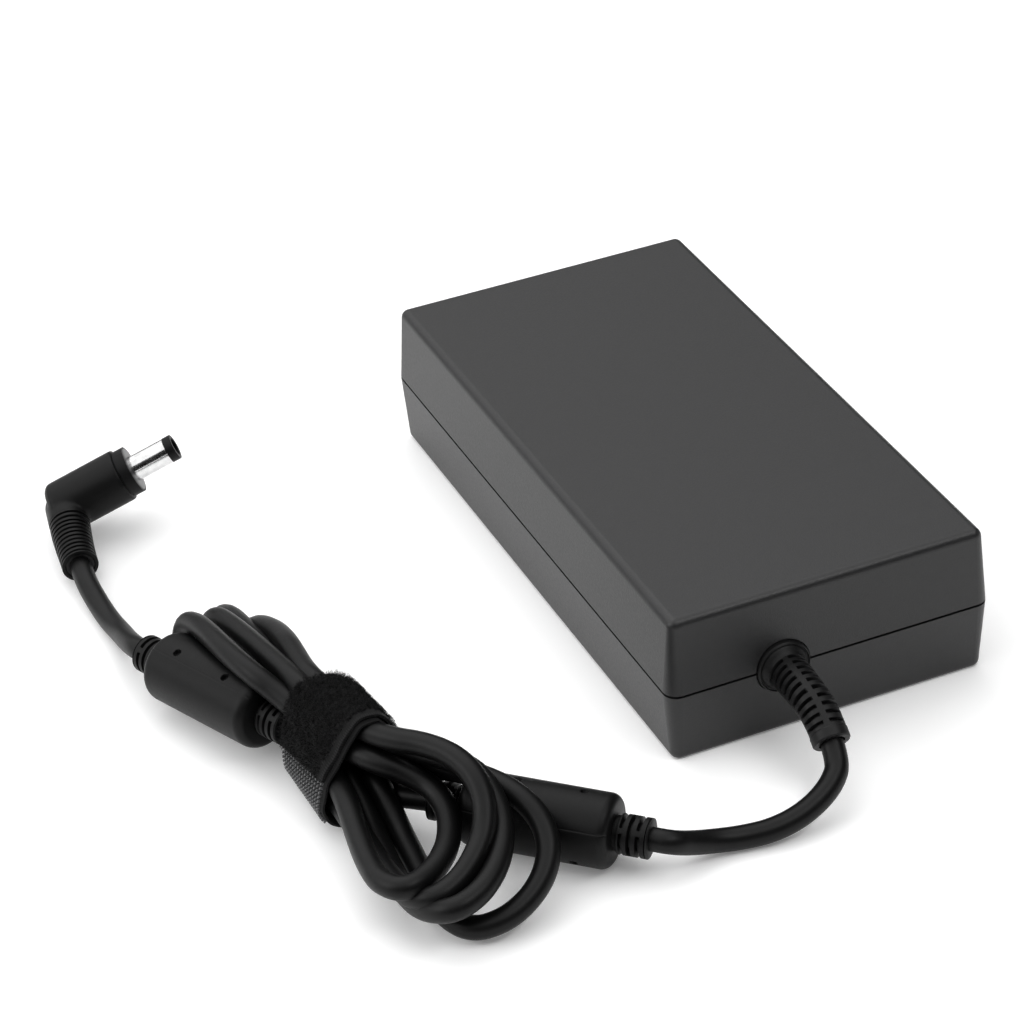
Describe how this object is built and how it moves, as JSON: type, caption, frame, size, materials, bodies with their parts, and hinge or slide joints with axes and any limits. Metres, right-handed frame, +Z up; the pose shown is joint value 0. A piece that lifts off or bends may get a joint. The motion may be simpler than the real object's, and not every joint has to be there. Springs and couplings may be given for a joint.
{
  "type": "laptop power adapter",
  "caption": "Laptop power adapter: two-shell brick with mains inlet, output cord with two ferrite chokes wound in a strapped hank, and an angled barrel plug",
  "frame": {"origin": "centre of the brick's underside, on the surface it stands on", "axes": "+Z up; +Y along the brick towards the mains inlet, so the output cord leaves the -Y end; +X across the brick, away from the hank"},
  "size_m": [0.2045, 0.2257, 0.0426],
  "materials": {
    "case_plastic": "fine spark-eroded grain",
    "label_film": "satin polyester film, unprinted",
    "inlet_plastic": "plain",
    "pin_metal": "nickel plated",
    "board_laminate": "solder-masked laminate",
    "steel": "zinc plated",
    "shield_metal": "rolled sheet",
    "film": "translucent insulating film",
    "fuse_body": "glazed",
    "capacitor_yellow": "moulded box",
    "ferrite": "sintered",
    "copper_winding": "enamelled wire",
    "chip_epoxy": "moulded epoxy",
    "capacitor_sleeve": "shrink sleeve",
    "heat_sink": "extruded",
    "bobbin": "phenolic",
    "pad": "silicone",
    "wire": "insulated wire",
    "relief_rubber": "matt elastomer",
    "cord_jacket": "satin",
    "plug_rubber": "satin elastomer",
    "collar_plastic": "plain",
    "barrel_metal": "polished",
    "strap_fabric": "hook and loop"
  },
  "bodies": {
    "adapter": {"case_top": "case_plastic", "case_bottom": "case_plastic", "rating_label": "label_film", "inlet_housing": "inlet_plastic", "inlet_pins": "pin_metal", "circuit_board": "board_laminate", "board_screws": "steel", "bottom_shield": "shield_metal", "insulating_sheet": "film", "top_shield": "shield_metal", "fuse": "fuse_body", "line_capacitor": "capacitor_yellow", "line_choke_core": "ferrite", "line_choke_windings": "copper_winding", "bridge_rectifier": "chip_epoxy", "boost_coil_core": "ferrite", "boost_coil_winding": "copper_winding", "bulk_capacitor": "capacitor_sleeve", "suppression_capacitors": "capacitor_sleeve", "primary_heat_sink": "heat_sink", "primary_transistors": "chip_epoxy", "heat_sink_screws": "steel", "transformer_core": "ferrite", "transformer_bobbin": "bobbin", "transformer_winding": "capacitor_yellow", "output_heat_sink": "heat_sink", "output_rectifiers": "chip_epoxy", "output_choke_core": "ferrite", "output_choke_winding": "copper_winding", "output_capacitors": "capacitor_sleeve", "control_chips": "chip_epoxy", "thermal_pads": "pad", "output_wires": "wire", "strain_relief": "relief_rubber", "cord_case_side": "cord_jacket", "cord_plug_side": "cord_jacket", "near_ferrite_core": "ferrite", "near_ferrite_cover": "plug_rubber", "near_ferrite_cord": "cord_jacket", "far_ferrite_core": "ferrite", "far_ferrite_cover": "plug_rubber", "far_ferrite_cord": "cord_jacket", "hank": "cord_jacket", "strap_band": "strap_fabric", "plug_shell": "plug_rubber", "plug_collar": "collar_plastic", "plug_barrel": "barrel_metal", "plug_tip": "plug_rubber", "plug_carrier": "collar_plastic", "plug_pin": "pin_metal"},
    "strap_end": {"strap_tab": "strap_fabric"}
  },
  "joints": [
    {"name": "strap_peel", "type": "hinge", "parent": "adapter", "child": "strap_end", "pos_m": [-0.13273, -0.0632, 0.03288], "axis": [0, 1, 0], "range_deg": [0, 80]}
  ]
}
